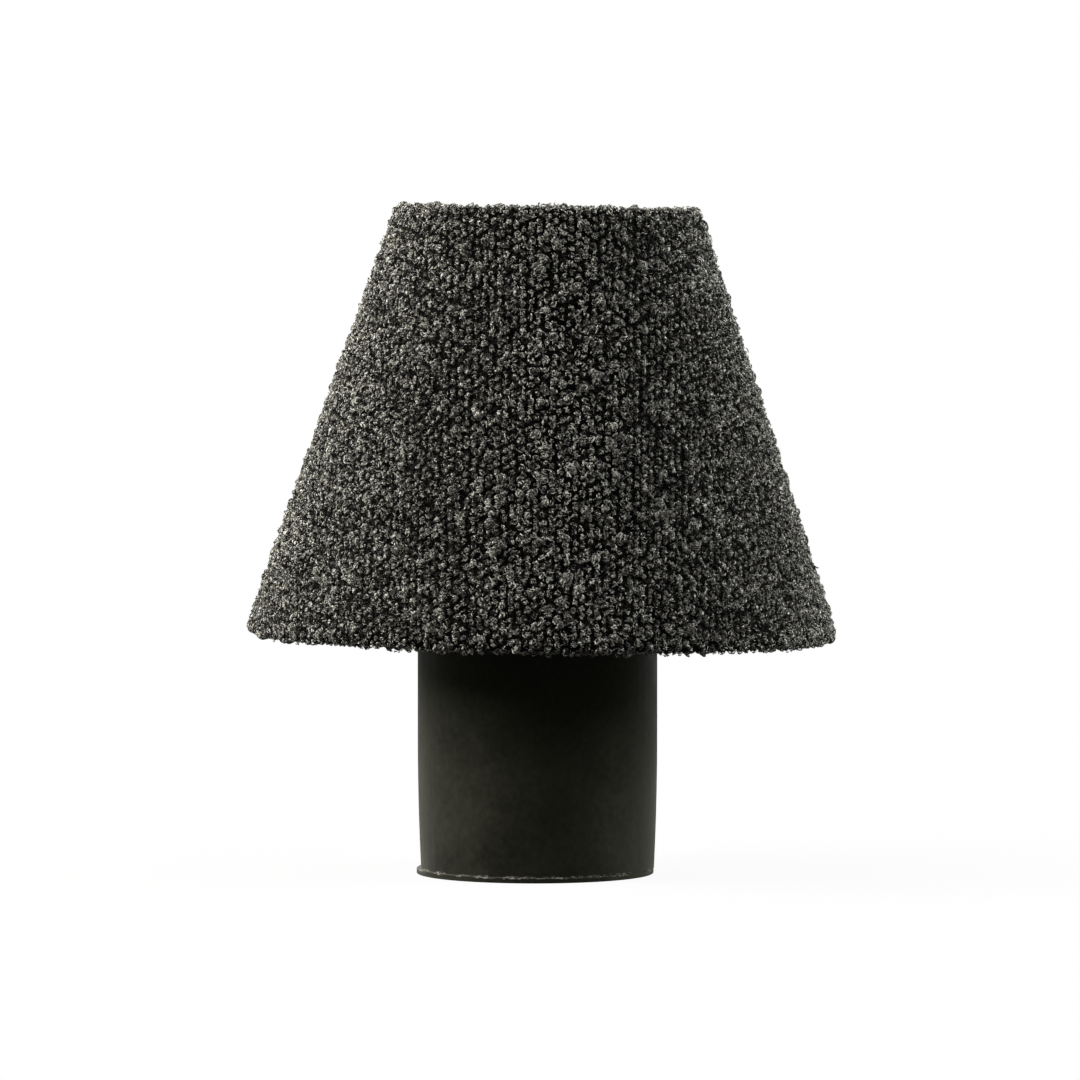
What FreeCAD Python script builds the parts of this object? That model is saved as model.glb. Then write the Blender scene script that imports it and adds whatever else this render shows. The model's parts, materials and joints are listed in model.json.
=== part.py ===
import FreeCAD, Part
import math
import os

# Candle lamp with a cloth-covered conical shade.
# A steel can in a leather sleeve holds a candle in a glass. A wire carrier drops into the
# can's mouth and stands on its rim, and the open shade hangs on the carrier's hoop, with
# nothing across its top, so that the candle lifts straight out.
# Millimetres, +Z up. The origin is the middle of the pot's underside, and seams face +Y.

# Pot: steel can, leather sleeve and leather disc
pot_height = 100.0
sleeve_diameter = 80.0
leather_thickness = 1.6
sleeve_seam_gap = 0.4
belly_start = 45.0
belly_inset = 1.15
disc_diameter = 79.2
disc_thickness = 1.8
disc_edge_radius = 0.3
disc_offset = 0.8
can_wall = 0.8
can_corner_radius = 3.0
glue_line = 0.1

# Candle: glass, wax, wick and the tab that holds the wick to the glass
glass_diameter = 66.0
glass_height = 92.0
glass_wall = 2.6
glass_floor = 6.0
glass_foot_radius = 3.0
glass_inner_radius = 6.0
wax_depth = 64.0
wax_edge_radius = 1.0
wick_diameter = 2.2
wick_showing = 11.0
wick_curl = 3.0
wick_curl_radius = 6.0
tab_diameter = 20.0
tab_thickness = 0.5
tab_neck_diameter = 4.6
tab_neck_height = 5.0
tab_neck_radius = 0.8

# Carrier: collar in the can's mouth, three bent wires and a hoop
carrier_height = 100.0
carrier_wire = 2.4
flange_overhang = 0.4
flange_thickness = 1.0
flange_inner_radius = 0.9
skirt_depth = 10.0
skirt_wall = 0.8
skirt_clearance = 0.4
leg_count = 3
first_leg_degrees = 83.0
foot_length = 10.0
leg_bend_radius = 5.0
leg_end_length = 8.0
leg_end_rise = 2.5
braze_line = 0.05

# Shade: two rings, a laminate liner and a thick cloth rolled round the rings
top_ring_diameter = 96.2
bottom_ring_diameter = 189.2
ring_spacing = 137.3
ring_wire = 2.4
hoop_drop = 19.4
seat_clearance = 0.3
liner_thickness = 0.5
liner_lap = 8.0
cloth_thickness = 2.3
cloth_lap = 12.0
cloth_lap_rise = 0.8
hem_tail = 10.0
shade_lean_degrees = 0.91

# Two points nearer than this are one point
same_point = 0.001

# Worked out from the values above
up = FreeCAD.Vector(0, 0, 1)
base_middle = FreeCAD.Vector(0, 0, 0)
sleeve_inset = 0.0
can_inset = leather_thickness + glue_line
bore_inset = can_inset + can_wall
can_floor = disc_thickness + can_wall
glass_bottom = can_floor
wax_bottom = glass_bottom + glass_floor
wax_top = wax_bottom + wax_depth
flange_top = pot_height + flange_thickness
flange_radius = sleeve_diameter / 2 + flange_overhang
skirt_radius = sleeve_diameter / 2 - bore_inset - skirt_clearance
skirt_bore = skirt_radius - skirt_wall
hoop_height = pot_height + carrier_height
top_ring_height = hoop_height + hoop_drop
bottom_ring_height = top_ring_height - ring_spacing


def at(radius, height):
    """A point of a section that is turned about Z."""
    return FreeCAD.Vector(radius, 0, height)


def line(start, end):
    return Part.LineSegment(start, end).toShape()


def arc(start, middle, end):
    return Part.Arc(start, middle, end).toShape()


def turned(face):
    """The ring that a section makes when it turns once about Z."""
    return face.revolve(base_middle, up, 360)


def rounded_edges(points, radii, closed):
    """Straight runs from point to point, with a tangent arc of the given radius at each."""
    ends = []
    for index, (point, radius) in enumerate(zip(points, radii)):
        if radius == 0:
            ends.append((point, point, point))
            continue
        back = (points[index - 1] - point).normalize()
        ahead = (points[(index + 1) % len(points)] - point).normalize()
        half_angle = back.getAngle(ahead) / 2
        inward = (back + ahead).normalize()
        setback = radius / math.tan(half_angle)
        middle = point + inward * (radius / math.sin(half_angle) - radius)
        ends.append((point + back * setback, middle, point + ahead * setback))
    edges = []
    for index, (start, middle, end) in enumerate(ends):
        if start.distanceToPoint(end) > same_point:
            edges.append(arc(start, middle, end))
        following = ends[(index + 1) % len(ends)][0]
        last = index + 1 == len(ends)
        if end.distanceToPoint(following) > same_point and (closed or not last):
            edges.append(line(end, following))
    return edges


def section(*corners):
    """A flat face from corners of radius, height and, where one is rounded, its rounding."""
    points = [at(corner[0], corner[1]) for corner in corners]
    radii = [corner[2] if len(corner) > 2 else 0 for corner in corners]
    return Part.Face(Part.Wire(rounded_edges(points, radii, closed=True)))


def level_edges(solid, height):
    """The edges of a solid that lie at one height."""
    return [
        edge
        for edge in solid.Edges
        if all(abs(vertex.Z - height) < same_point for vertex in edge.Vertexes)
    ]


def at_back(width, reach):
    """A block on the +Y side, to cut a strip of one width out of a turned form."""
    corner = FreeCAD.Vector(-width / 2, 0, -reach)
    return Part.makeBox(width, reach, reach + reach, corner)


# Pot

def belly_drop(depth):
    """How far the pot's wall has come in at a depth below the height where it starts to."""
    radius = (belly_start**2 + belly_inset**2) / (belly_inset + belly_inset)
    return radius - math.sqrt(radius**2 - depth**2)


def pot_form(inset, bottom, corner_radius=0):
    """What the pot's outer wall encloses, drawn in by an inset, from a height to the rim."""
    radius = sleeve_diameter / 2 - inset
    depth = belly_start - bottom
    wall_bottom = at(radius - belly_drop(depth), bottom)
    wall_middle = at(radius - belly_drop(depth / 2), bottom + depth / 2)
    wall_top = at(radius, belly_start)
    outline = [
        line(at(0, bottom), wall_bottom),
        arc(wall_bottom, wall_middle, wall_top),
        line(wall_top, at(radius, pot_height)),
        line(at(radius, pot_height), at(0, pot_height)),
        line(at(0, pot_height), at(0, bottom)),
    ]
    form = turned(Part.Face(Part.Wire(outline)))
    if corner_radius:
        form = form.makeFillet(corner_radius, level_edges(form, bottom))
    return form


def base_disc():
    disc = Part.makeCylinder(disc_diameter / 2, disc_thickness)
    rims = level_edges(disc, 0) + level_edges(disc, disc_thickness)
    disc = disc.makeFillet(disc_edge_radius, rims)
    disc.translate(FreeCAD.Vector(-disc_offset, 0, 0))
    return disc


def leather_sleeve():
    """One strip of leather round the can, butted at the back."""
    sleeve = pot_form(sleeve_inset, disc_thickness)
    sleeve = sleeve.cut(pot_form(leather_thickness, disc_thickness))
    return sleeve.cut(at_back(sleeve_seam_gap, pot_height + sleeve_diameter))


def pot_can():
    """A drawn can with a round corner at its floor."""
    inner_corner = can_corner_radius - can_wall
    can = pot_form(can_inset, disc_thickness, can_corner_radius)
    return can.cut(pot_form(bore_inset, can_floor, inner_corner))


# Candle

def candle_glass():
    """A straight tumbler with a thick floor and a round lip."""
    outer = glass_diameter / 2
    inner = outer - glass_wall
    lip = glass_wall / 2
    top = glass_bottom + glass_height
    return turned(
        section(
            (0, glass_bottom),
            (outer, glass_bottom, glass_foot_radius),
            (outer, top, lip),
            (inner, top, lip),
            (inner, wax_bottom, glass_inner_radius),
            (0, wax_bottom),
        )
    )


def candle_wax():
    """The wax fills the glass round the wick and the tab that stands on the glass floor."""
    outer = glass_diameter / 2 - glass_wall - glue_line
    bore = wick_diameter / 2 + glue_line
    neck = tab_neck_diameter / 2 + glue_line
    tab = tab_diameter / 2 + glue_line
    neck_top = wax_bottom + tab_neck_height + glue_line
    tab_top = wax_bottom + tab_thickness + glue_line
    return turned(
        section(
            (tab, wax_bottom),
            (outer, wax_bottom, glass_inner_radius),
            (outer, wax_top, wax_edge_radius),
            (bore, wax_top),
            (bore, neck_top),
            (neck, neck_top),
            (neck, tab_top, tab_neck_radius - glue_line),
            (tab, tab_top),
        )
    )


def wick_tab():
    """A pressed steel foot whose neck is crimped round the wick."""
    bore = wick_diameter / 2 + glue_line
    return turned(
        section(
            (bore, wax_bottom),
            (tab_diameter / 2, wax_bottom),
            (tab_diameter / 2, wax_bottom + tab_thickness),
            (tab_neck_diameter / 2, wax_bottom + tab_thickness, tab_neck_radius),
            (tab_neck_diameter / 2, wax_bottom + tab_neck_height),
            (bore, wax_bottom + tab_neck_height),
        )
    )


def bent_wire(points, radius, diameter):
    """A round wire along straight runs joined by bends of one radius."""
    radii = [radius] * len(points)
    radii[0] = 0
    radii[-1] = 0
    path = Part.Wire(rounded_edges(points, radii, closed=False))
    outline = Part.Circle(points[0], points[1] - points[0], diameter / 2).toShape()
    return path.makePipeShell([Part.Wire(outline)], True, False)


def wick():
    """A braided wick, straight in the wax and curled over at its tip."""
    curl_start = wax_top + wick_showing - wick_curl_radius
    points = [
        at(0, wax_bottom),
        at(0, curl_start),
        at(wick_curl, wax_top + wick_showing),
    ]
    return bent_wire(points, wick_curl_radius, wick_diameter)


# Shade section: a straight slant between the two ring centres

top_ring = at(top_ring_diameter / 2, top_ring_height)
bottom_ring = at(bottom_ring_diameter / 2, bottom_ring_height)
slant_down = (bottom_ring - top_ring).normalize()
slant_up = slant_down.negative()
outward = FreeCAD.Vector(-slant_down.z, 0, slant_down.x)
slant_length = bottom_ring.distanceToPoint(top_ring)

# Offsets from the line of the ring centres, outward positive
ring_face = ring_wire / 2
liner_inside = ring_face - liner_thickness
lap_inside = liner_inside - liner_thickness
cloth_inside = ring_face + glue_line


def leaned(shape):
    """The shade stands a little off plumb, as it was photographed."""
    return shape.rotated(base_middle, FreeCAD.Vector(0, 1, 0), shade_lean_degrees)


def torus(ring, wire_diameter):
    return Part.makeTorus(ring.x, wire_diameter / 2, FreeCAD.Vector(0, 0, ring.z))


def hem(ring, along, thickness):
    """Edges of the cloth from its outer face round a ring, along the tail and back."""
    outer_radius = cloth_inside + thickness
    tail_offset = liner_inside - glue_line
    tail_reach = math.hypot(hem_tail, tail_offset)
    tilt = math.atan2(tail_offset, hem_tail) + math.asin(cloth_inside / tail_reach)
    inward = along * math.sin(tilt) - outward * math.cos(tilt)
    round_end = along * -math.cos(tilt / 2) - outward * math.sin(tilt / 2)
    tail_end = ring + along * hem_tail + outward * tail_offset
    tail_back = tail_end + inward * thickness
    return [
        arc(ring + outward * outer_radius, ring + round_end * outer_radius, ring + inward * outer_radius),
        line(ring + inward * outer_radius, tail_back),
        line(tail_back, tail_end),
        line(tail_end, ring + inward * cloth_inside),
        arc(ring + inward * cloth_inside, ring + round_end * cloth_inside, ring + outward * cloth_inside),
    ]


def cloth_form(thickness):
    """The cloth of one thickness, turned about Z, with a hem rolled round each ring."""
    outer_offset = outward * (cloth_inside + thickness)
    inner_offset = outward * cloth_inside
    edges = hem(top_ring, slant_down, thickness)
    edges.append(line(top_ring + inner_offset, bottom_ring + inner_offset))
    edges.extend(reversed(hem(bottom_ring, slant_up, thickness)))
    edges.append(line(bottom_ring + outer_offset, top_ring + outer_offset))
    return turned(Part.Face(Part.Wire(edges)))


def shade_fabric():
    """The cloth cover, with the lap of its joint standing proud at the back."""
    lap = cloth_form(cloth_thickness + cloth_lap_rise)
    lap = lap.common(at_back(cloth_lap, bottom_ring_diameter + ring_spacing))
    return leaned(cloth_form(cloth_thickness).fuse(lap).removeSplitter())


def slant_strip(end_distance, inside, outside):
    """A conical layer between two offsets, stopping at a distance from each ring centre."""
    top = top_ring + slant_down * end_distance
    bottom = bottom_ring + slant_up * end_distance
    corners = [
        top + outward * inside,
        top + outward * outside,
        bottom + outward * outside,
        bottom + outward * inside,
    ]
    square = [0] * len(corners)
    return turned(Part.Face(Part.Wire(rounded_edges(corners, square, closed=True))))


def shade_liner():
    """The stiff liner, one sheet lapped on itself at the back, between the two rings."""
    end_distance = math.sqrt(cloth_inside**2 - liner_inside**2)
    sheet = slant_strip(end_distance, liner_inside, ring_face)
    lap = slant_strip(hem_tail + cloth_thickness, lap_inside, ring_face)
    lap = lap.common(at_back(liner_lap, bottom_ring_diameter + ring_spacing))
    return leaned(sheet.fuse(lap).removeSplitter())


# Carrier

hoop_offset = lap_inside - seat_clearance - carrier_wire / 2
hoop_reach = (hoop_drop + hoop_offset * outward.z) / -slant_down.z
hoop = top_ring + slant_down * hoop_reach + outward * hoop_offset


def carrier_collar():
    """A spun ring: its skirt drops into the can and its flange covers the rim."""
    return turned(
        section(
            (skirt_bore, pot_height - skirt_depth),
            (skirt_radius, pot_height - skirt_depth),
            (skirt_radius, pot_height),
            (flange_radius, pot_height),
            (flange_radius, flange_top),
            (skirt_bore, flange_top, flange_inner_radius),
        )
    )


def carrier_leg(index):
    """A wire brazed along the flange, bent up to the hoop and brazed inside it."""
    bearing = math.radians(first_leg_degrees + index * 360 / leg_count)
    radial = FreeCAD.Vector(math.cos(bearing), math.sin(bearing), 0)
    tangent = FreeCAD.Vector(-math.sin(bearing), math.cos(bearing), 0)
    foot_radius = (skirt_bore + flange_radius) / 2
    foot_height = up * (flange_top + carrier_wire / 2 + braze_line)
    foot_middle = radial * foot_radius + foot_height
    corner = foot_middle + tangent * (foot_length / 2)
    riser = FreeCAD.Vector(corner.x, corner.y, 0).normalize()
    top_radius = riser * (hoop.x - carrier_wire - braze_line)
    end_top = hoop_height + leg_end_rise
    points = [
        foot_middle - tangent * (foot_length / 2),
        corner,
        leaned(Part.Vertex(top_radius + up * (end_top - leg_end_length))).Point,
        leaned(Part.Vertex(top_radius + up * end_top)).Point,
    ]
    return bent_wire(points, leg_bend_radius, carrier_wire)


nodes = {
    "base_disc": base_disc(),
    "leather_sleeve": leather_sleeve(),
    "pot_can": pot_can(),
    "candle_glass": candle_glass(),
    "candle_wax": candle_wax(),
    "wick": wick(),
    "wick_tab": wick_tab(),
    "carrier_collar": carrier_collar(),
    "carrier_hoop": leaned(torus(hoop, carrier_wire)),
    "shade_top_ring": leaned(torus(top_ring, ring_wire)),
    "shade_bottom_ring": leaned(torus(bottom_ring, ring_wire)),
    "shade_liner": shade_liner(),
    "shade_fabric": shade_fabric(),
}
for leg_index in range(leg_count):
    nodes[f"carrier_leg_{leg_index + 1}"] = carrier_leg(leg_index)

os.makedirs("parts", exist_ok=True)
for name, shape in nodes.items():
    shape.exportStep(f"parts/{name}.step")
    print(name, len(shape.Solids), shape.isValid(), round(shape.Volume, 1))
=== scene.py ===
import json
import math

import bpy
import numpy as np
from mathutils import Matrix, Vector


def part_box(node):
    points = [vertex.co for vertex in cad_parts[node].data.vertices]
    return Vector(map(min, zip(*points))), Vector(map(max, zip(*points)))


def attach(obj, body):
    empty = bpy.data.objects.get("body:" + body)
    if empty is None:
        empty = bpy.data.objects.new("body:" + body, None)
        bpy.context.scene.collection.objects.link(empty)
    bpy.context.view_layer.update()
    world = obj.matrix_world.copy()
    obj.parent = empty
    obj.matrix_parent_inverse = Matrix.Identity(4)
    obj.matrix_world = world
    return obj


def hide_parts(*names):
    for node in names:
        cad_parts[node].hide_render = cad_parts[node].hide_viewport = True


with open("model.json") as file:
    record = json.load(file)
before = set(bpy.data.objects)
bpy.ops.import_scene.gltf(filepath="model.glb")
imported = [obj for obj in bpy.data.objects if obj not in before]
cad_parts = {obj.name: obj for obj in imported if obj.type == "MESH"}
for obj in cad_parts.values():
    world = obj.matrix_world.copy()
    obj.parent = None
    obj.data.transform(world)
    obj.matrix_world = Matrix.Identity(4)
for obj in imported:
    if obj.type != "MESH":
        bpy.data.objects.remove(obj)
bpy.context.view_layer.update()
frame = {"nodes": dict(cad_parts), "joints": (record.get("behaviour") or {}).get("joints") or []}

# Candle lamp with a cone shade in looped wool. The wool is laid over the shade knot by knot,
# on the lattice of the flat cloth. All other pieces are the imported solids, in their finishes.
# Metres, +Z up, the pot's front towards -Y.

nodes = frame["nodes"]
MM = 0.001


# Shade's own measures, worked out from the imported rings

WIRE = 2.4 * MM
shade_axis = next(joint["axis"] for joint in frame["joints"] if joint["name"] == "shade_lift")


def ring_of(node):
    """Radius and height, along the shade's axis, of the circle that a ring's wire follows."""
    low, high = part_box(node)
    return np.array([high.y - WIRE / 2, ((low + high) / 2).length])


top_ring = ring_of("shade_top_ring")
bottom_ring = ring_of("shade_bottom_ring")
slant = np.linalg.norm(bottom_ring - top_ring)
slant_down = (bottom_ring - top_ring) / slant
outward = np.array([-slant_down[1], slant_down[0]])
tip_distance = top_ring[0] / slant_down[0]
half_fan = math.pi * slant_down[0]

# How far the cloth's inner face, its middle and the ground's outer face lie from the rings
CLOTH_INSIDE = 1.3 * MM
CLOTH_MIDDLE = 2.5 * MM
GROUND_OUTSIDE = 2.5 * MM

# A hem goes half round its ring and a little further, and ends in a straight tail
HEM_TAIL = 9.9 * MM
TAIL_TILT = math.radians(10.9)
roll_turn = math.pi + TAIL_TILT
hem_length = CLOTH_MIDDLE * roll_turn + HEM_TAIL

# Where one edge of the cloth lies over the other, at the back
LAP_WIDTH = 12 * MM
LAP_RISE = 0.8 * MM
LAP_BLEND = 2 * MM


def leaned(points):
    """Points of an upright shade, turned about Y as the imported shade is."""
    x, y, z = points[..., 0], points[..., 1], points[..., 2]
    sine, cosine = shade_axis[0], shade_axis[2]
    return np.stack([x * cosine + z * sine, y, z * cosine - x * sine], axis=-1)


def cloth_section(distance, offset):
    """Where the cloth's section lies, as radius and height, and its normals there.

    Distance runs down the slant from the top ring. Past either ring it goes on round the
    hem's roll and along its tail. Offset is how far out from the line of the rings."""
    over_top = distance < 0
    beyond = np.where(over_top, -distance, distance - slant)
    ring = np.where(over_top[..., None], top_ring, bottom_ring)
    along = np.where(over_top[..., None], -slant_down, slant_down)
    turn = np.clip(beyond / CLOTH_MIDDLE, 0, roll_turn)
    tail = np.clip(beyond - CLOTH_MIDDLE * roll_turn, 0, HEM_TAIL)
    sine, cosine = np.sin(turn)[..., None], np.cos(turn)[..., None]
    normal = outward * cosine + along * sine
    onward = along * cosine - outward * sine
    rolled = ring + normal * offset[..., None] + onward * tail[..., None]
    straight = top_ring + slant_down * distance[..., None] + outward * offset[..., None]
    flat = (beyond <= 0)[..., None]
    return np.where(flat, straight, rolled), np.where(flat, outward, normal)


def lap_height(bearing, radius):
    """How far the cloth stands up at the back, where one edge lies over the other."""
    from_seam = (math.pi - np.abs(bearing)) * radius
    return LAP_RISE * np.clip((LAP_WIDTH / 2 + LAP_BLEND / 2 - from_seam) / LAP_BLEND, 0, 1)


def on_cloth(distance, bearing, offset):
    """Points on the cloth and their normals, in the frame."""
    place, normal = cloth_section(distance, offset)
    place = place + normal * lap_height(bearing, place[..., 0])[..., None]
    sine, cosine = np.sin(bearing), np.cos(bearing)

    def spun(section):
        radius, height = section[..., 0], section[..., 1]
        return leaned(np.stack([radius * sine, -radius * cosine, height], -1))

    return spun(place), spun(normal)


# Meshes

BAKE_MAP = "OFBake"
YARN_MAP = "Yarn"
BAKE_MARGIN = 0.06
STRAND_END_REACH = 0.7
FIRST_SIDE = 1 / 4
SHORTEST = 1e-9


def new_mesh(name, points, faces, maps=None, attributes=None):
    """A smooth mesh object. Faces is a list of arrays, each of faces with the same corners."""
    mesh = bpy.data.meshes.new(name)
    corners = np.concatenate([face.ravel() for face in faces])
    sizes = np.concatenate([np.full(len(face), face.shape[1]) for face in faces])
    mesh.vertices.add(len(points))
    mesh.vertices.foreach_set("co", points.astype(np.float32).ravel())
    mesh.loops.add(len(corners))
    mesh.loops.foreach_set("vertex_index", corners.astype(np.int32))
    mesh.polygons.add(len(sizes))
    starts = np.concatenate([[0], np.cumsum(sizes)[:-1]])
    mesh.polygons.foreach_set("loop_start", starts.astype(np.int32))
    for map_name, places in (maps or {}).items():
        layer = mesh.uv_layers.new(name=map_name)
        layer.uv.foreach_set("vector", places.astype(np.float32).ravel())
    for key, values in (attributes or {}).items():
        layer = mesh.attributes.new(key, "FLOAT", "POINT")
        layer.data.foreach_set("value", values.astype(np.float32))
    mesh.update(calc_edges=True)
    mesh.shade_smooth()
    piece = bpy.data.objects.new(name, mesh)
    bpy.context.scene.collection.objects.link(piece)
    return piece


def grid_faces(rows, columns, close_rows=False):
    """Quads of a grid of points whose last column joins the first, as its last row may."""
    row = np.arange(rows if close_rows else rows - 1)[:, None]
    column = np.arange(columns)[None, :]
    next_row = (row + 1) % rows
    next_column = (column + 1) % columns
    quads = [
        row * columns + column,
        next_row * columns + column,
        next_row * columns + next_column,
        row * columns + next_column,
    ]
    return np.stack(quads, -1).reshape(-1, 4)


def grid_map(rows, columns):
    """A bake map for a closed grid: rows across the square, columns up it."""
    row = np.arange(rows)[:, None] + np.zeros((1, columns))
    column = np.arange(columns)[None, :] + np.zeros((rows, 1))
    u = [row, row + 1, row + 1, row]
    v = [column, column, column + 1, column + 1]
    return np.stack([np.stack(u, -1) / rows, np.stack(v, -1) / columns], -1).reshape(-1, 2)


def strand_faces(rings, sides):
    """One strand's faces: quads round its sides, and a fan of triangles over each end."""
    quads = grid_faces(rings, sides)[:, ::-1]
    side = np.arange(sides)
    following = (side + 1) % sides
    first_tip = rings * sides
    far_ring = first_tip - sides
    bottom = [np.full(sides, first_tip), side, following]
    top = [np.full(sides, first_tip + 1), far_ring + following, far_ring + side]
    fans = [np.stack(fan, -1)[:, ::-1] for fan in (bottom, top)]
    return quads, np.concatenate(fans)


def strand_map(rings, sides):
    """One strand's own map, in a square: round it along u, and from end to end along v."""
    side = np.arange(sides)
    rows = rings + 1
    quad_ring = np.repeat(np.arange(rings - 1), sides)[:, None] + np.array([0, 1, 1, 0])
    quad_side = np.tile(side, rings - 1)[:, None] + np.array([0, 0, 1, 1])
    quads = np.stack([quad_side / sides, (quad_ring + 1) / rows], -1)[:, ::-1]

    def fan(tip, ring, near, far):
        across = np.stack([side + 0.5, near, far], -1) / sides
        up = np.broadcast_to([tip, ring, ring], across.shape)
        return np.stack([across, up], -1)[:, ::-1]

    fans = [fan(0, 1 / rows, side, side + 1), fan(1, rings / rows, side + 1, side)]
    return quads, np.concatenate(fans)


def strands(name, path, wide, high, upright, sides, tone):
    """Many closed strands in one piece, each a tube of oval section along its own path.

    Path is (strand, ring, xyz), wide and high are half sizes for each ring, upright is the
    way that high is measured, and tone is one number for each strand."""
    count, rings, _ = path.shape
    tangent = np.gradient(path, axis=1)
    tangent /= np.linalg.norm(tangent, axis=2, keepdims=True)
    across = np.cross(tangent, upright)
    across /= np.maximum(np.linalg.norm(across, axis=2, keepdims=True), SHORTEST)
    above = np.cross(across, tangent)
    turn = (np.arange(sides) / sides + FIRST_SIDE) * 2 * math.pi
    ring = (
        path[:, :, None]
        + across[:, :, None] * (wide[:, :, None, None] * np.cos(turn)[:, None])
        + above[:, :, None] * (high[:, :, None, None] * np.sin(turn)[:, None])
    )
    first = path[:, 0] - tangent[:, 0] * wide[:, :1] * STRAND_END_REACH
    last = path[:, -1] + tangent[:, -1] * wide[:, -1:] * STRAND_END_REACH
    points = np.concatenate([ring.reshape(count, -1, 3), first[:, None], last[:, None]], axis=1)

    per_strand = rings * sides + 2
    starts = (np.arange(count) * per_strand)[:, None, None]
    faces = strand_faces(rings, sides)
    maps = strand_map(rings, sides)
    length = np.linalg.norm(np.diff(path, axis=1), axis=2).sum(1)
    in_square = math.ceil(math.sqrt(count))
    cell = np.stack([np.arange(count) % in_square, np.arange(count) // in_square], -1)

    def bake_places(uv):
        places = cell[:, None, None] + BAKE_MARGIN + uv[None] * (1 - 2 * BAKE_MARGIN)
        return (places / in_square).reshape(-1, 2)

    def yarn_places(uv):
        scale = np.stack([np.ones(count), length / MM], -1)[:, None, None]
        return (uv[None] * scale).reshape(-1, 2)

    return new_mesh(
        name,
        points.reshape(-1, 3),
        [(face[None] + starts).reshape(-1, face.shape[1]) for face in faces],
        maps={
            BAKE_MAP: np.concatenate([bake_places(uv) for uv in maps]),
            YARN_MAP: np.concatenate([yarn_places(uv) for uv in maps]),
        },
        attributes={"tone": np.repeat(tone, per_strand)},
    )


# The flat cloth: random patches, and the lattice of its knots

KNOT_ACROSS = 2.47 * MM
KNOT_DOWN = 2.90 * MM
WAVE_COUNT = 14
WAVE_LENGTHS = (1.3, 2.8)
WAVE_PEAK = 1.6


def patchy(x, y, size, seed):
    """Smooth random waves from -1 to 1, with humps about the given size."""
    waves = np.random.default_rng(seed)
    total = np.zeros_like(x)
    for _ in range(WAVE_COUNT):
        heading = waves.uniform(0, 2 * math.pi)
        length = size * waves.uniform(*WAVE_LENGTHS)
        shift = waves.uniform(0, 2 * math.pi)
        forward = x * math.cos(heading) + y * math.sin(heading)
        total += np.sin(forward * 2 * math.pi / length + shift)
    return np.clip(total / math.sqrt(WAVE_COUNT), -WAVE_PEAK, WAVE_PEAK) / WAVE_PEAK


def cloth_lattice():
    """Places of the flat cloth's knots that fall on the shade's fan and its hems."""
    reach = tip_distance + slant + hem_length
    last_column = math.ceil(reach / KNOT_ACROSS)
    columns = np.arange(-last_column, last_column + 1)
    rows = np.arange(0, math.ceil(reach / KNOT_DOWN) + 1)
    column, row = (grid.ravel() for grid in np.meshgrid(columns, rows))
    x = column * KNOT_ACROSS
    y = (row + (column % 2) / 2) * KNOT_DOWN
    distance = np.hypot(x, y) - tip_distance
    on_fan = np.abs(np.arctan2(x, y)) <= half_fan
    kept = on_fan & (distance > -hem_length) & (distance < slant + hem_length)
    return x[kept], y[kept]


def over_flat(x, y, height):
    """Points over places of the flat cloth, with the cloth's normals there."""
    distance = np.hypot(x, y) - tip_distance
    bearing = np.arctan2(x, y) / slant_down[0]
    return on_cloth(distance, bearing, height)


def curling(heading, sweep, length, rings, snaking=False):
    """Flat paths about their own middles, as arcs, or turning back on themselves if snaking."""
    one_way = np.linspace(0, 1, rings) - 0.5
    and_back = 0.5 - 2 * one_way**2
    turn = np.where(np.reshape(snaking, (-1, 1)), and_back, one_way)
    angle = heading[:, None] + sweep[:, None] * turn
    middle = (angle[:, 1:] + angle[:, :-1]) / 2
    step = (length / (rings - 1))[:, None]
    x = np.cumsum(np.sin(middle) * step, axis=1)
    y = np.cumsum(np.cos(middle) * step, axis=1)
    x = np.concatenate([np.zeros((len(x), 1)), x], axis=1)
    y = np.concatenate([np.zeros((len(y), 1)), y], axis=1)
    return x - x.mean(1, keepdims=True), y - y.mean(1, keepdims=True)


def tapered(share, loss):
    """How thick a strand is at shares from -1 to 1 of its way, when its ends lose some."""
    return np.sqrt(1 - loss * share**2)


def in_panels(prefix, panels, path, wide, high, upright, sides, tone):
    """Strands shared out over a number of pieces, so that none is too heavy."""
    tone = np.clip(tone, 0, 1)
    pieces = []
    for index, part in enumerate(np.array_split(np.arange(len(path)), panels)):
        name = f"{prefix}_{index + 1}"
        shape = path[part], wide[part], high[part], upright[part]
        pieces.append(strands(name, *shape, sides, tone[part]))
    return pieces


# The knots: half sizes, how they differ, and the height that they stand on

KNOT_DRIFT = (0.30 * MM, 0.34 * MM)
KNOT_HALF_SIZES = (1.10 * MM, 1.28 * MM, 0.95 * MM)
KNOT_HIGHEST = 1.5 * MM
KNOT_FOOT = 2.3 * MM
KNOT_SIZE_SPREAD = 0.20
KNOT_SIZE_LIMITS = (0.65, 1.5)
KNOT_HEIGHT_SHARES = (0.7, 1.3)
BIG_KNOTS = 0.05
BIG_KNOT_SCALE = 1.35
KNOT_TONE = 0.47
KNOT_TONE_SPREAD = 0.05
TONE_PATCH = 8 * MM
TONE_PATCH_LEVEL = 0.05
TONE_PATCH_SEED = 5


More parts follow.
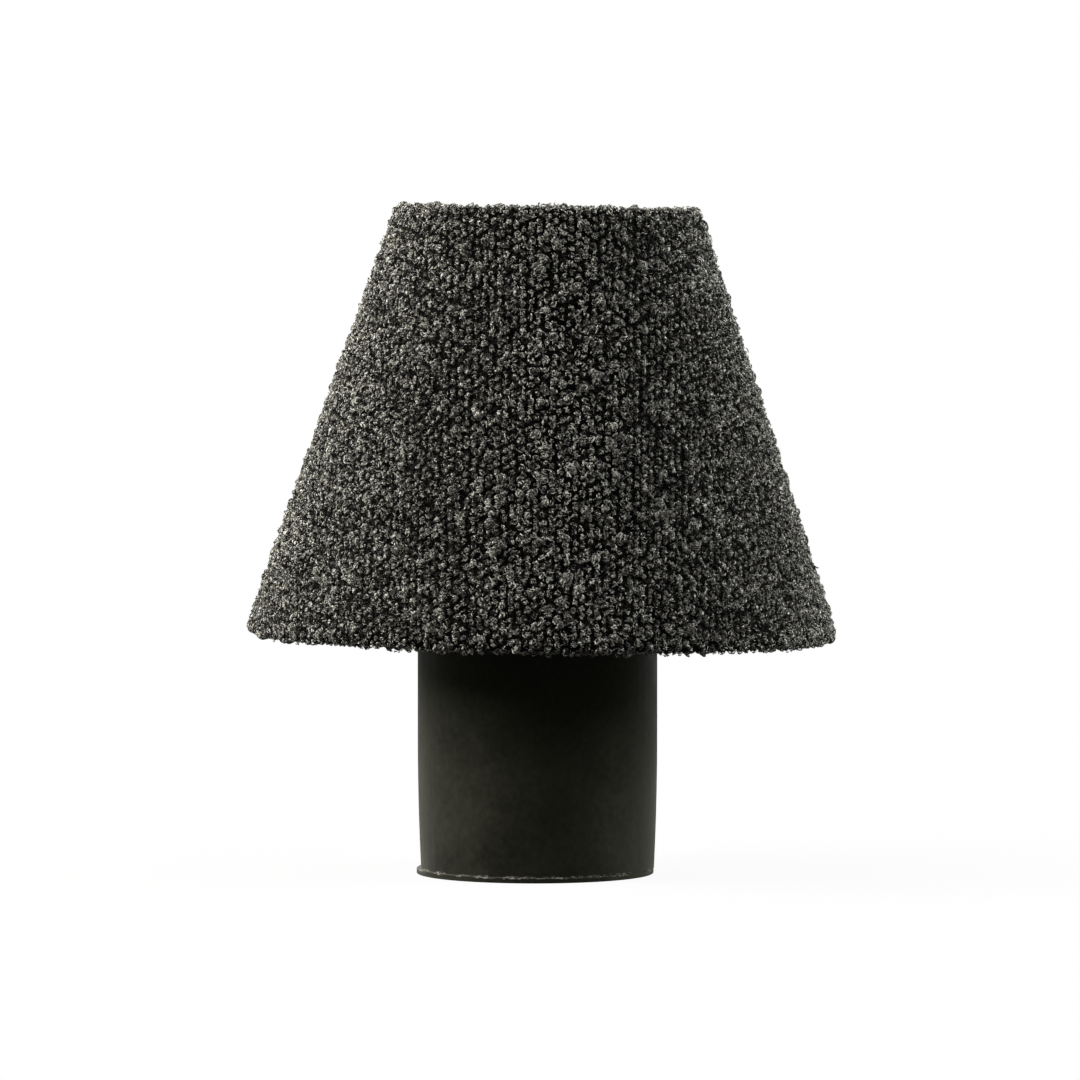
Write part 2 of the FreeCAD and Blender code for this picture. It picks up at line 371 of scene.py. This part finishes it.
def knots(seed):
    """The cloth's knots: their places, half sizes across, down and up, and their tones."""
    draws = np.random.default_rng(seed)
    x, y = cloth_lattice()
    order = np.argsort(np.arctan2(x, y))
    x, y = x[order], y[order]
    count = len(x)
    x = x + draws.normal(0, KNOT_DRIFT[0], count)
    y = y + draws.normal(0, KNOT_DRIFT[1], count)
    size = np.clip(np.exp(draws.normal(0, KNOT_SIZE_SPREAD, count)), *KNOT_SIZE_LIMITS)
    size = np.where(draws.uniform(0, 1, count) < BIG_KNOTS, size * BIG_KNOT_SCALE, size)
    across, down, up = (half * size for half in KNOT_HALF_SIZES)
    up = np.minimum(up * draws.uniform(*KNOT_HEIGHT_SHARES, count), KNOT_HIGHEST)
    patch = patchy(x, y, TONE_PATCH, TONE_PATCH_SEED)
    tone = KNOT_TONE + draws.normal(0, KNOT_TONE_SPREAD, count) + TONE_PATCH_LEVEL * patch
    return x, y, across, down, up, tone


def knot_bodies(prefix, panels, knot, seed):
    """The thick of each knot, under its loops. Its tone is lowered as painted shade under the
    loops.
    """
    rings, sides = 3, 6
    end_inset = 0.4
    usual_heading, heading_spread, sweep_spread = -0.2, 0.6, 0.8
    end_drop, end_loss = 0.25, 0.5
    wide_share, high_share = 0.9, 0.92
    # painted shade: the bodies' tone is lowered because they lie under the loops
    painted_under_shade = 0.17

    x, y, across, down, up, tone = knot
    draws = np.random.default_rng(seed)
    count = len(x)
    share = np.linspace(-1, 1, rings)
    length = 2 * (down - end_inset * across)
    heading = draws.normal(usual_heading, heading_spread, count)
    sweep = draws.normal(0, sweep_spread, count)
    path_x, path_y = curling(heading, sweep, length, rings)
    height = KNOT_FOOT - end_drop * up[:, None] * share**2
    path, normal = over_flat(x[:, None] + path_x, y[:, None] + path_y, height)
    taper = tapered(share, end_loss)
    wide = wide_share * across[:, None] * taper
    high = high_share * up[:, None] * taper
    return in_panels(prefix, panels, path, wide, high, normal, sides, tone - painted_under_shade)


def knot_loops(prefix, panels, knot, seed):
    """Short turns of yarn that curl round the top and sides of each knot. Loops near a knot's
    middle get painted light, and those out towards the gaps get painted shade.
    """
    each = 6
    rings, sides = 3, 3
    farthest = 1.15
    lengths_mm, halves_mm = (0.9, 1.7), (0.17, 0.30)
    heading_spread = 0.7
    usual_sweep, sweep_spread = 1.2, 0.9
    highest_mm, end_drop, end_loss = 0.38, 0.22 * MM, 0.5
    painted_dome_light, usual_lighter, tone_spread = 0.12, 0.02, 0.26

    x, y, across, down, up, tone = (np.repeat(values, each) for values in knot)
    draws = np.random.default_rng(seed)
    count = len(x)
    share = np.linspace(-1, 1, rings)
    bearing = draws.uniform(0, 2 * math.pi, count)
    out = farthest * np.sqrt(draws.uniform(0, 1, count))
    length = draws.uniform(*lengths_mm, count) * MM
    heading = bearing + math.pi / 2 + draws.normal(0, heading_spread, count)
    sweep = draws.normal(usual_sweep, sweep_spread, count)
    path_x, path_y = curling(heading, sweep, length, rings)
    x = x + across * out * np.sin(bearing)
    y = y + down * out * np.cos(bearing)
    dome = up * np.sqrt(np.clip(1 - out**2, 0, 1))
    top = dome + draws.uniform(0.0, highest_mm, count) * MM
    height = KNOT_FOOT + top[:, None] - end_drop * share**2
    path, normal = over_flat(x[:, None] + path_x, y[:, None] + path_y, height)
    half = draws.uniform(*halves_mm, count)[:, None] * MM * tapered(share, end_loss)
    # painted light and shade: loops near the knot's middle are lighter, those out in the gaps
    # darker
    tone = tone + painted_dome_light * (1 - out**2) + draws.normal(usual_lighter, tone_spread, count)
    return in_panels(prefix, panels, path, half, half, normal, sides, tone)


# Yarn that lies over the knots

SCATTER_TRIES = 4
SCATTER_PATCH = 16 * MM
SCATTER_LEAST = 0.15


def scattered(count, seed):
    """Random places on the fan, thicker in some patches than in others."""
    draws = np.random.default_rng(seed)
    tries = count * SCATTER_TRIES
    low, high = tip_distance - hem_length / 2, tip_distance + slant + hem_length / 2
    from_tip = np.sqrt(draws.uniform(low**2, high**2, tries))
    fan = draws.uniform(-half_fan, half_fan, tries)
    x, y = from_tip * np.sin(fan), from_tip * np.cos(fan)
    patch = 0.5 + 0.5 * patchy(x, y, SCATTER_PATCH, seed + 1)
    chance = SCATTER_LEAST + (1 - SCATTER_LEAST) * patch
    kept = np.flatnonzero(draws.uniform(0, 1, tries) < chance)[:count]
    return x[kept], y[kept], draws


def loose_curls(name, count, seed):
    """Open bights of fine yarn that have worked up out of the cloth."""
    rings, sides = 9, 4
    lengths_mm, halves_mm = (3.0, 5.0), (0.16, 0.28)
    sweeps = (2.2, 5.0)
    snaking_share = 0.25
    foot_mm, rises_mm, lean_spread_mm = 2.7, (0.7, 1.5), 0.35
    end_loss = 0.3
    usual_tone, tone_spread = 0.66, 0.18

    x, y, draws = scattered(count, seed)
    count = len(x)
    share = np.linspace(-1, 1, rings)
    length = draws.uniform(*lengths_mm, count) * MM
    sweep = draws.uniform(*sweeps, count) * draws.choice([-1, 1], count)
    heading = draws.uniform(0, 2 * math.pi, count)
    snaking = draws.uniform(0, 1, count) < snaking_share
    path_x, path_y = curling(heading, sweep, length, rings, snaking)
    lean = draws.normal(0, lean_spread_mm, count)[:, None] * share
    rise = draws.uniform(*rises_mm, count)[:, None] * (1 - share**4)
    height = (foot_mm + rise + lean) * MM
    path, normal = over_flat(x[:, None] + path_x, y[:, None] + path_y, height)
    thick = draws.uniform(*halves_mm, count)[:, None] * MM * (1 - end_loss * share**2)
    tone = np.clip(draws.normal(usual_tone, tone_spread, count), 0, 1)
    return strands(name, path, thick, thick, normal, sides, tone)


def slubs(prefix, panels, count, seed):
    """Soft tufts where the yarn thickens: a few fine strands lying side by side."""
    each = 8
    rings, sides = 7, 3
    lengths_mm, length_shares, halves_mm = (2.6, 4.6), (0.75, 1.05), (0.20, 0.30)
    breadths_mm, end_narrowing = (0.9, 1.8), 0.5
    heading_spread, sweep_spread, strand_sweep_spread = 0.16, 1.1, 0.3
    foot_mm, crown_mm, crown_spread_mm, end_drop_mm = 3.15, 0.9, 0.08, 1.0
    end_loss = 0.6
    usual_tone, tone_spread, strand_tone_spread = 0.54, 0.06, 0.15

    x, y, draws = scattered(count, seed)
    count = len(x)
    total = count * each

    def shared(values):
        return np.repeat(values, each)

    length = shared(draws.uniform(*lengths_mm, count)) * MM
    length = length * draws.uniform(*length_shares, total)
    heading = shared(draws.uniform(0, math.pi, count)) + draws.normal(0, heading_spread, total)
    sweep = shared(draws.normal(0, sweep_spread, count))
    sweep = sweep + draws.normal(0, strand_sweep_spread, total)
    place = np.tile(np.linspace(-1, 1, each), count)
    breadth = shared(draws.uniform(*breadths_mm, count)) * MM
    path_x, path_y = curling(heading, sweep, length, rings)
    share = np.linspace(-1, 1, rings)
    spread = (place * breadth)[:, None] * (1 - end_narrowing * share**2)
    path_x = path_x + spread * np.cos(heading)[:, None]
    path_y = path_y - spread * np.sin(heading)[:, None]
    crown = crown_mm * (1 - place**2) + draws.normal(0, crown_spread_mm, total)
    height = (foot_mm + crown[:, None] - end_drop_mm * np.abs(share) ** 3) * MM
    path, normal = over_flat(shared(x)[:, None] + path_x, shared(y)[:, None] + path_y, height)
    thick = draws.uniform(*halves_mm, total)[:, None] * MM * tapered(share, end_loss)
    tone = shared(draws.normal(usual_tone, tone_spread, count))
    tone = tone + draws.normal(0, strand_tone_spread, total)
    return in_panels(prefix, panels, path, thick, thick, normal, sides, tone)


def ground_cloth():
    """The cloth under the knots, closed round both faces and both hems."""
    columns = 300
    outer_rows = 130
    inner_rows = 70
    inset = 0.3 * MM
    outer = np.linspace(-hem_length + inset, slant + hem_length - inset, outer_rows)
    inner = np.linspace(slant + hem_length, -hem_length, inner_rows)
    distance = np.concatenate([outer, inner])
    offsets = [np.full(outer_rows, GROUND_OUTSIDE), np.full(inner_rows, CLOTH_INSIDE)]
    offset = np.concatenate(offsets)
    bearing = (np.arange(columns) / columns * 2 - 1) * math.pi
    rows = len(distance)
    shape = (rows, columns)
    distances = np.broadcast_to(distance[:, None], shape)
    bearings = np.broadcast_to(bearing[None], shape)
    points, _ = on_cloth(distances, bearings, np.broadcast_to(offset[:, None], shape))
    return new_mesh(
        "shade_cloth",
        points.reshape(-1, 3),
        [grid_faces(rows, columns, close_rows=True)],
        maps={BAKE_MAP: grid_map(rows, columns)},
    )


# Nodes of materials

def plug(tree, node, inputs):
    """Sets a node's inputs, or links them where they are given another node's output."""
    for key, value in inputs.items():
        if isinstance(value, bpy.types.NodeSocket):
            tree.links.new(value, node.inputs[key])
        else:
            node.inputs[key].default_value = value


def adder(tree):
    """A helper that adds nodes to a tree, with their settings made and inputs plugged."""

    def add(kind, inputs=None, **settings):
        node = tree.nodes.new(kind)
        for key, value in settings.items():
            setattr(node, key, value)
        plug(tree, node, inputs or {})
        return node

    return add


def material(name):
    """A new material with its tree, its Principled shader and a helper that adds nodes."""
    made = bpy.data.materials.new(name)
    made.use_nodes = True
    tree = made.node_tree
    return made, tree, tree.nodes["Principled BSDF"], adder(tree)


def math_node(add, operation, first, second=0.0, third=0.0):
    return add("ShaderNodeMath", {0: first, 1: second, 2: third}, operation=operation).outputs[0]


def noise(add, where, scale, detail=2.0, roughness=0.5):
    inputs = {"Vector": where, "Scale": scale, "Detail": detail, "Roughness": roughness}
    return add("ShaderNodeTexNoise", inputs).outputs["Fac"]


def cells(add, where, scale):
    """How far places are from the nearest of scattered points."""
    return add("ShaderNodeTexVoronoi", {"Vector": where, "Scale": scale}).outputs["Distance"]


def waves_of(add, phase):
    """A sine wave of the phase, from 0 to 1."""
    return math_node(add, "MULTIPLY_ADD", math_node(add, "SINE", phase), 0.5, 0.5)


def mapped(add, value, start, end, low=0.0, high=1.0, kind="LINEAR"):
    """A value that goes from low to high while another goes from start to end."""
    inputs = {"Value": value, "From Min": start, "From Max": end, "To Min": low, "To Max": high}
    return add("ShaderNodeMapRange", inputs, interpolation_type=kind).outputs[0]


def stepped(add, value, none, full):
    """A smooth step from 0 where the value is none to 1 where it is full."""
    return mapped(add, value, none, full, kind="SMOOTHSTEP")


def ramp(add, factor, stops):
    """A colour ramp. Stops are pairs of a place and a linear colour."""
    node = add("ShaderNodeValToRGB", {"Fac": factor})
    points = node.color_ramp.elements
    while len(points) < len(stops):
        points.new(0.5)
    for point, (place, colour) in zip(points, stops):
        point.position = place
        point.color = (*colour, 1.0)
    return node.outputs["Color"]


def bump(add, height, strength, distance):
    inputs = {"Height": height, "Strength": strength, "Distance": distance}
    return add("ShaderNodeBump", inputs).outputs["Normal"]


def wear(obj, made):
    """Puts a material on an object in place of what it has."""
    obj.data.materials.clear()
    obj.data.materials.append(made)
    return obj


# Wool

PLIES = 2
PLY_PITCH_MM = 1.5
PLY_WANDER = 5.0
FLECK_WEIGHT = 3.5
BEAD_WEIGHT = 0.5
PLY_VALLEY_SHADE = 0.45
SHADE_DROP = 2.21
FIBRE_HEIGHT = 0.8
WOOL_STOPS = [
    (0.03, (0.0020, 0.0019, 0.0016)),
    (0.34, (0.0370, 0.0358, 0.0308)),
    (0.56, (0.1600, 0.1568, 0.1355)),
    (0.76, (0.5200, 0.5085, 0.4480)),
    (1.00, (0.8500, 0.8340, 0.7490)),
]
TANGLE_LINES = 5.0
# painted shade: the cloth under the knots is near black, standing for the shade in the gaps
# between them
GAP_SHADE_STOPS = [
    (0.15, (0.0012, 0.0012, 0.0010)),
    (0.65, (0.022, 0.021, 0.019)),
]


def wool_material():
    """Plied wool: painted shade in the valleys between the plies, heathered strands and fine
    fibres.
    """
    made, tree, shader, add = material("charcoal_wool")
    yarn = add("ShaderNodeUVMap", uv_map=YARN_MAP).outputs["UV"]
    parts = add("ShaderNodeSeparateXYZ", {0: yarn})
    tone = add("ShaderNodeAttribute", attribute_name="tone").outputs["Fac"]
    where = add("ShaderNodeTexCoord").outputs["Object"]
    wander = noise(add, where, scale=900.0, detail=1.0)
    phase = math_node(add, "MULTIPLY", parts.outputs["Y"], 2 * math.pi / PLY_PITCH_MM)
    phase = math_node(add, "MULTIPLY_ADD", parts.outputs["X"], 2 * math.pi * PLIES, phase)
    phase = math_node(add, "MULTIPLY_ADD", wander, PLY_WANDER, phase)
    ply = waves_of(add, phase)
    fleck = noise(add, where, scale=1900.0, detail=1.5, roughness=0.6)
    bead = noise(add, where, scale=1000.0, detail=1.0)
    shade = math_node(add, "MULTIPLY_ADD", fleck, FLECK_WEIGHT, tone)
    shade = math_node(add, "MULTIPLY_ADD", bead, BEAD_WEIGHT, shade)
    # painted shade: the ply wave darkens the valleys between the plies
    shade = math_node(add, "MULTIPLY_ADD", ply, PLY_VALLEY_SHADE, shade)
    shade = math_node(add, "SUBTRACT", shade, SHADE_DROP)
    fibre = noise(add, where, scale=3600.0, detail=2.0, roughness=0.7)
    height = math_node(add, "MULTIPLY_ADD", fibre, FIBRE_HEIGHT, ply)
    plug(tree, shader, {
        "Base Color": ramp(add, shade, WOOL_STOPS),
        "Normal": bump(add, height, strength=0.7, distance=0.2 * MM),
        "Roughness": 0.62,
        "Specular IOR Level": 0.08,
        "Sheen Weight": 0.05,
        "Sheen Roughness": 0.4,
        "Sheen Tint": (0.75, 0.74, 0.70, 1.0),
    })
    return made


def gap_shade_material():
    """The cloth under its loops: a tangle of the same yarn, painted near black as shade in the
    gaps between the knots.
    """
    made, tree, shader, add = material("wool_gap_shade")
    where = add("ShaderNodeTexCoord").outputs["Object"]
    field = noise(add, where, scale=420.0, detail=1.0)
    tangle = waves_of(add, math_node(add, "MULTIPLY", field, 2 * math.pi * TANGLE_LINES))
    patch = noise(add, where, scale=900.0, detail=2.0)
    shade = math_node(add, "MULTIPLY", tangle, patch)
    plug(tree, shader, {
        "Base Color": ramp(add, shade, GAP_SHADE_STOPS),
        "Normal": bump(add, tangle, strength=0.9, distance=0.5 * MM),
        "Roughness": 0.95,
        "Specular IOR Level": 0.02,
    })
    return made


# Leather, with raw fibres where the sleeve meets the disc

LEATHER_STOPS = [
    (0.37, (0.0088, 0.0089, 0.0057)),
    (0.63, (0.0280, 0.0280, 0.0194)),
]
GRAIN_SHARE = 0.35
MOTTLE_SHARE = 0.65
SEAM_HEIGHT = 1.8 * MM
SEAM_REACH = 0.60 * MM
SEAM_CORE = 0.25 * MM
RAW_FIBRE = (0.34, 0.325, 0.285, 1.0)
FIBRE_STRETCH = (1.0, 1.0, 3.0)
SPECK_LEVEL = 0.5
CREASE_SLANT = (0.0, math.radians(35), 0.0)
CREASE_STRETCH = (1.0, 1.0, 0.25)
PORE_HEIGHT = 0.35
CREASE_HEIGHT = 6.0


def leather_colour(add, where, grain, mottle):
    """Mottled black, with raw fibres along the seam and a few pale specks."""
    mottled = math_node(add, "MULTIPLY", mottle, MOTTLE_SHARE)
    blend = math_node(add, "MULTIPLY_ADD", grain, GRAIN_SHARE, mottled)
    black = ramp(add, blend, LEATHER_STOPS)
    height_here = add("ShaderNodeSeparateXYZ", {0: where}).outputs["Z"]
    above_seam = math_node(add, "SUBTRACT", height_here, SEAM_HEIGHT)
    from_seam = math_node(add, "ABSOLUTE", above_seam)
    by_seam = stepped(add, from_seam, none=SEAM_REACH, full=SEAM_CORE)
    flattened = add("ShaderNodeMapping", {"Vector": where, "Scale": FIBRE_STRETCH})
    fibre = noise(add, flattened.outputs["Vector"], scale=650.0, detail=3.0, roughness=0.7)
    fibres = stepped(add, fibre, none=0.49, full=0.60)
    clump = noise(add, where, scale=130.0, detail=1.0)
    clumps = stepped(add, clump, none=0.36, full=0.50)
    raw = math_node(add, "MULTIPLY", by_seam, math_node(add, "MULTIPLY", fibres, clumps))
    specks = stepped(add, cells(add, where, scale=70.0), none=0.035, full=0.020)
    light = math_node(add, "MAXIMUM", raw, math_node(add, "MULTIPLY", specks, SPECK_LEVEL))
    return add("ShaderNodeMix", {0: light, 6: black, 7: RAW_FIBRE}, data_type="RGBA").outputs[2]


def leather_material():
    """Satin black leather: fine pores, soft mottling, creases, and raw fibres at the seam."""
    made, tree, shader, add = material("black_leather")
    where = add("ShaderNodeTexCoord").outputs["Object"]
    pores = cells(add, where, scale=1500.0)
    grain = noise(add, where, scale=420.0, detail=4.0, roughness=0.6)
    mottle = noise(add, where, scale=45.0, detail=4.0, roughness=0.6)
    turned = {"Vector": where, "Rotation": CREASE_SLANT, "Scale": CREASE_STRETCH}
    slanted = add("ShaderNodeMapping", turned).outputs["Vector"]
    creases = noise(add, slanted, scale=60.0, detail=3.0, roughness=0.6)
    height = math_node(add, "MULTIPLY_ADD", pores, PORE_HEIGHT, grain)
    height = math_node(add, "MULTIPLY_ADD", creases, CREASE_HEIGHT, height)
    plug(tree, shader, {
        "Base Color": leather_colour(add, where, grain, mottle),
        "Roughness": mapped(add, mottle, start=0.35, end=0.65, low=0.50, high=0.64),
        "Normal": bump(add, height, strength=0.35, distance=0.15 * MM),
        "IOR": 1.12,
        "Specular IOR Level": 0.5,
        "Specular Tint": (0.98, 1.0, 0.78, 1.0),
        "Sheen Weight": 0.40,
        "Sheen Roughness": 0.38,
        "Sheen Tint": (1.0, 0.98, 0.88, 1.0),
    })
    return made


# Other finishes

CLOUD_STOPS = (0.3, 0.7)
ROUGHNESS_SPREAD = 0.08


def plain_material(name, dark, light, scale, roughness, metallic=0.0):
    """A finish that varies a little in colour and height over the surface."""
    made, tree, shader, add = material(name)
    where = add("ShaderNodeTexCoord").outputs["Object"]
    cloud = noise(add, where, scale, detail=4.0, roughness=0.6)
    smoother = roughness - ROUGHNESS_SPREAD
    rougher = roughness + ROUGHNESS_SPREAD
    plug(tree, shader, {
        "Base Color": ramp(add, cloud, list(zip(CLOUD_STOPS, (dark, light)))),
        "Normal": bump(add, cloud, strength=0.2, distance=0.1 * MM),
        "Roughness": mapped(add, cloud, start=0.0, end=1.0, low=smoother, high=rougher),
        "Metallic": metallic,
    })
    return made


def glass_material():
    made, tree, shader, add = material("clear_glass")
    where = add("ShaderNodeTexCoord").outputs["Object"]
    ripple = noise(add, where, scale=30.0, detail=1.0)
    plug(tree, shader, {
        "Normal": bump(add, ripple, strength=0.05, distance=0.2 * MM),
        "Base Color": (0.97, 0.99, 0.98, 1.0),
        "Transmission Weight": 1.0,
        "Roughness": 0.02,
        "IOR": 1.5,
    })
    return made


# Dressing

KNOT_SEED = 3
BODY_SEED, BODY_PANELS = 4, 3
LOOP_SEED, LOOP_PANELS = 5, 7
CURL_SEED, CURL_COUNT = 21, 200
SLUB_SEED, SLUB_PANELS, SLUB_COUNT = 31, 2, 700


def dress_shade():
    cloth = wear(ground_cloth(), gap_shade_material())
    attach(cloth, "shade")
    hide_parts("shade_fabric")
    wool = wool_material()
    knot = knots(KNOT_SEED)
    yarns = knot_bodies("knot_bodies", BODY_PANELS, knot, BODY_SEED)
    yarns += knot_loops("knot_loops", LOOP_PANELS, knot, LOOP_SEED)
    yarns.append(loose_curls("yarn_curls", CURL_COUNT, CURL_SEED))
    yarns += slubs("yarn_slubs", SLUB_PANELS, SLUB_COUNT, SLUB_SEED)
    for yarn in yarns:
        wear(yarn, wool)
        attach(yarn, "shade")


def dress_nodes():
    leather = leather_material()
    steel = plain_material(
        "tinned_steel",
        dark=(0.42, 0.41, 0.39),
        light=(0.58, 0.57, 0.55),
        scale=90.0,
        roughness=0.34,
        metallic=1.0,
    )
    black = plain_material(
        "black_powder_coat",
        dark=(0.008, 0.008, 0.008),
        light=(0.02, 0.02, 0.02),
        scale=2500.0,
        roughness=0.45,
    )
    wax = plain_material(
        "ivory_wax",
        dark=(0.66, 0.61, 0.50),
        light=(0.72, 0.67, 0.56),
        scale=60.0,
        roughness=0.42,
    )
    cotton = plain_material(
        "waxed_cotton",
        dark=(0.62, 0.58, 0.48),
        light=(0.82, 0.78, 0.68),
        scale=1800.0,
        roughness=0.7,
    )
    laminate = plain_material(
        "liner_laminate",
        dark=(0.72, 0.69, 0.62),
        light=(0.80, 0.77, 0.70),
        scale=1200.0,
        roughness=0.6,
    )
    finishes = {
        "leather_sleeve": leather,
        "base_disc": leather,
        "pot_can": steel,
        "wick_tab": steel,
        "candle_glass": glass_material(),
        "candle_wax": wax,
        "wick": cotton,
        "carrier_collar": black,
        "carrier_hoop": black,
        "carrier_leg_1": black,
        "carrier_leg_2": black,
        "carrier_leg_3": black,
        "shade_top_ring": steel,
        "shade_bottom_ring": steel,
        "shade_liner": laminate,
    }
    for name, finish in finishes.items():
        wear(nodes[name], finish)


# Studio

FLOOR_HALF = 0.7
FLOOR_GREY = (0.8, 0.8, 0.8, 1.0)
FLOOR_DULL = (0.01, 0.01, 0.01, 1.0)
WHITE = (1.0, 1.0, 1.0, 1.0)
LAMP_AIM = (0.0, 0.0, 0.1)

# Each lamp's name, place, size, watts and colour
LAMPS = [
    ("left_box", (-1.0, 0.62, 0.74), (1.3, 0.9), 9.5, (1.0, 0.975, 0.93)),
    ("front_box", (-1.20, -0.28, 0.68), (0.5, 0.6), 26.0, (1.0, 0.985, 0.96)),
    ("right_box", (1.12, -0.08, 0.68), (0.5, 0.6), 14.5, (0.97, 0.99, 1.0)),
    ("low_box", (0.45, -1.25, 0.82), (0.4, 0.3), 1.5, (1.0, 1.0, 1.0)),
]


def softbox(name, place, size, power, colour):
    """A square lamp that faces the aim."""
    lamp = bpy.data.lights.new(name, "AREA")
    lamp.shape = "RECTANGLE"
    lamp.size, lamp.size_y = size
    lamp.energy = power
    lamp.color = colour
    obj = bpy.data.objects.new(name, lamp)
    obj.location = place
    heading = np.array(LAMP_AIM) - np.array(place)
    obj.rotation_mode = "QUATERNION"
    obj.rotation_quaternion = Vector(heading).to_track_quat("-Z", "Y")
    bpy.context.scene.collection.objects.link(obj)


def in_sight(add):
    """1 for rays from the camera, through glass or off a glossy surface, and 0 for others."""
    path = add("ShaderNodeLightPath").outputs
    seen = math_node(add, "MAXIMUM", path["Is Camera Ray"], path["Is Transmission Ray"])
    return math_node(add, "MAXIMUM", seen, path["Is Glossy Ray"])


def pale_floor():
    """A floor that runs out to white. To rays out of sight it is dark, and it lights nothing."""
    made, tree, shader, add = material("pale_floor")
    plug(tree, shader, {"Base Color": FLOOR_GREY, "Roughness": 0.9, "Specular IOR Level": 0.0})
    where = add("ShaderNodeTexCoord").outputs["Object"]
    away = add("ShaderNodeVectorMath", {0: where}, operation="LENGTH").outputs["Value"]
    fade = mapped(add, away, start=0.08, end=0.30, low=0.92, high=1.0)
    white = add("ShaderNodeEmission", {"Color": WHITE, "Strength": 1.0}).outputs[0]
    pale = add("ShaderNodeMixShader", {0: fade, 1: shader.outputs[0], 2: white}).outputs[0]
    dull = add("ShaderNodeBsdfDiffuse", {"Color": FLOOR_DULL}).outputs[0]
    mixed = add("ShaderNodeMixShader", {0: in_sight(add), 1: dull, 2: pale}).outputs[0]
    plug(tree, tree.nodes["Material Output"], {"Surface": mixed})
    corners = [[-1, -1, 0], [1, -1, 0], [1, 1, 0], [-1, 1, 0]]
    points = FLOOR_HALF * np.array(corners)
    floor = wear(new_mesh("floor", points, [np.array([[0, 1, 2, 3]])]), made)


def studio_world():
    """White where it is in sight. Other rays see it dim, most light behind, left and high."""
    world = bpy.data.worlds.new("studio")
    bpy.context.scene.world = world
    world.use_nodes = True
    tree = world.node_tree
    add = adder(tree)
    sky = add("ShaderNodeTexCoord").outputs["Generated"]
    way = add("ShaderNodeSeparateXYZ", {0: sky}).outputs
    smooth = "SMOOTHSTEP"
    behind = mapped(add, way["Y"], start=-0.7, end=0.7, low=0.05, high=0.90, kind=smooth)
    left = mapped(add, way["X"], start=-0.6, end=0.6, low=1.0, high=0.55, kind=smooth)
    above = mapped(add, way["Z"], start=0.0, end=0.7, low=0.10, high=0.4, kind=smooth)
    level = math_node(add, "MULTIPLY", math_node(add, "MULTIPLY", behind, left), above)
    strength = math_node(add, "MAXIMUM", level, in_sight(add))
    plug(tree, tree.nodes["Background"], {"Color": WHITE, "Strength": strength})


def studio():
    """The floor, the world, and soft lamps on both sides and in front."""
    pale_floor()
    studio_world()
    for lamp in LAMPS:
        softbox(*lamp)


# Camera, as the photograph was taken: far off, a little above the shade's middle

EYE_DISTANCE = 2.4
EYE_HEIGHT = 0.2222
PITCH_DEGREES = 2.645
PHOTO_WIDTH = 1080
FOCAL_PIXELS = 7200
CENTRE_COLUMN_AT = 0.83 * MM
SENSOR_WIDTH = 36.0
FARTHEST = 100.0


def camera():
    data = bpy.data.cameras.new("camera")
    data.sensor_width = SENSOR_WIDTH
    data.lens = FOCAL_PIXELS / PHOTO_WIDTH * data.sensor_width
    data.clip_end = FARTHEST
    obj = bpy.data.objects.new("camera", data)
    obj.location = (CENTRE_COLUMN_AT, -EYE_DISTANCE, EYE_HEIGHT)
    obj.rotation_euler = (math.radians(90 - PITCH_DEGREES), 0.0, 0.0)
    bpy.context.scene.collection.objects.link(obj)
    bpy.context.scene.camera = obj


dress_shade()
dress_nodes()
studio()
camera()
bpy.context.scene.view_settings.view_transform = "Standard"
